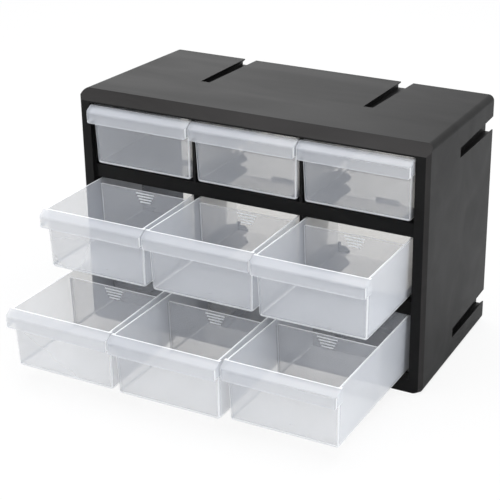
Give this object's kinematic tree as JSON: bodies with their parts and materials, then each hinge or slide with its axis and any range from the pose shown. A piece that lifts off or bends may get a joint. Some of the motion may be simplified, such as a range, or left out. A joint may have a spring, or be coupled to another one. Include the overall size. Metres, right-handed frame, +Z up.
{
  "type": "parts bin cabinet",
  "caption": "Black plastic parts cabinet with rows of translucent drawers that slide out, each with a lift-out divider and a lip handle.",
  "frame": {"origin": "centre of the flat underside of the casing", "axes": "+X to the right as seen from the front, +Y to the back, +Z up; drawers open towards -Y"},
  "size_m": [0.3798, 0.3419, 0.2517],
  "materials": {
    "black_plastic": "satin",
    "clear_plastic": "gloss"
  },
  "bodies": {
    "cabinet": {"front_frame": "black_plastic", "top_panel": "black_plastic", "base_panel": "black_plastic", "left_panel": "black_plastic", "right_panel": "black_plastic", "base_runners": "black_plastic", "lower_shelf": "black_plastic", "upper_shelf": "black_plastic", "front_post_bottom_left": "black_plastic", "front_post_bottom_right": "black_plastic", "front_post_middle_left": "black_plastic", "front_post_middle_right": "black_plastic", "front_post_top_left": "black_plastic", "front_post_top_right": "black_plastic"},
    "bottom_left_drawer": {"drawer_bottom_left": "clear_plastic", "divider_bottom_left": "clear_plastic"},
    "bottom_middle_drawer": {"drawer_bottom_middle": "clear_plastic", "divider_bottom_middle": "clear_plastic"},
    "bottom_right_drawer": {"drawer_bottom_right": "clear_plastic", "divider_bottom_right": "clear_plastic"},
    "middle_left_drawer": {"drawer_middle_left": "clear_plastic", "divider_middle_left": "clear_plastic"},
    "middle_middle_drawer": {"drawer_middle_middle": "clear_plastic", "divider_middle_middle": "clear_plastic"},
    "middle_right_drawer": {"drawer_middle_right": "clear_plastic", "divider_middle_right": "clear_plastic"},
    "top_left_drawer": {"drawer_top_left": "clear_plastic", "divider_top_left": "clear_plastic"},
    "top_middle_drawer": {"drawer_top_middle": "clear_plastic", "divider_top_middle": "clear_plastic"},
    "top_right_drawer": {"drawer_top_right": "clear_plastic", "divider_top_right": "clear_plastic"}
  },
  "joints": [
    {"name": "slide_bottom_left", "type": "slide", "parent": "cabinet", "child": "bottom_left_drawer", "axis": [0, -1, 0], "range_m": [-0.1515, 0.0025]},
    {"name": "slide_bottom_middle", "type": "slide", "parent": "cabinet", "child": "bottom_middle_drawer", "axis": [0, -1, 0], "range_m": [-0.1535, 0.0005]},
    {"name": "slide_bottom_right", "type": "slide", "parent": "cabinet", "child": "bottom_right_drawer", "axis": [0, -1, 0], "range_m": [-0.1485, 0.0055]},
    {"name": "slide_middle_left", "type": "slide", "parent": "cabinet", "child": "middle_left_drawer", "axis": [0, -1, 0], "range_m": [-0.088, 0.066]},
    {"name": "slide_middle_middle", "type": "slide", "parent": "cabinet", "child": "middle_middle_drawer", "axis": [0, -1, 0], "range_m": [-0.0885, 0.0655]},
    {"name": "slide_middle_right", "type": "slide", "parent": "cabinet", "child": "middle_right_drawer", "axis": [0, -1, 0], "range_m": [-0.092, 0.062]},
    {"name": "slide_top_left", "type": "slide", "parent": "cabinet", "child": "top_left_drawer", "axis": [0, -1, 0], "range_m": [0, 0.154]},
    {"name": "slide_top_middle", "type": "slide", "parent": "cabinet", "child": "top_middle_drawer", "axis": [0, -1, 0], "range_m": [0, 0.154]},
    {"name": "slide_top_right", "type": "slide", "parent": "cabinet", "child": "top_right_drawer", "axis": [0, -1, 0], "range_m": [0, 0.154]}
  ]
}
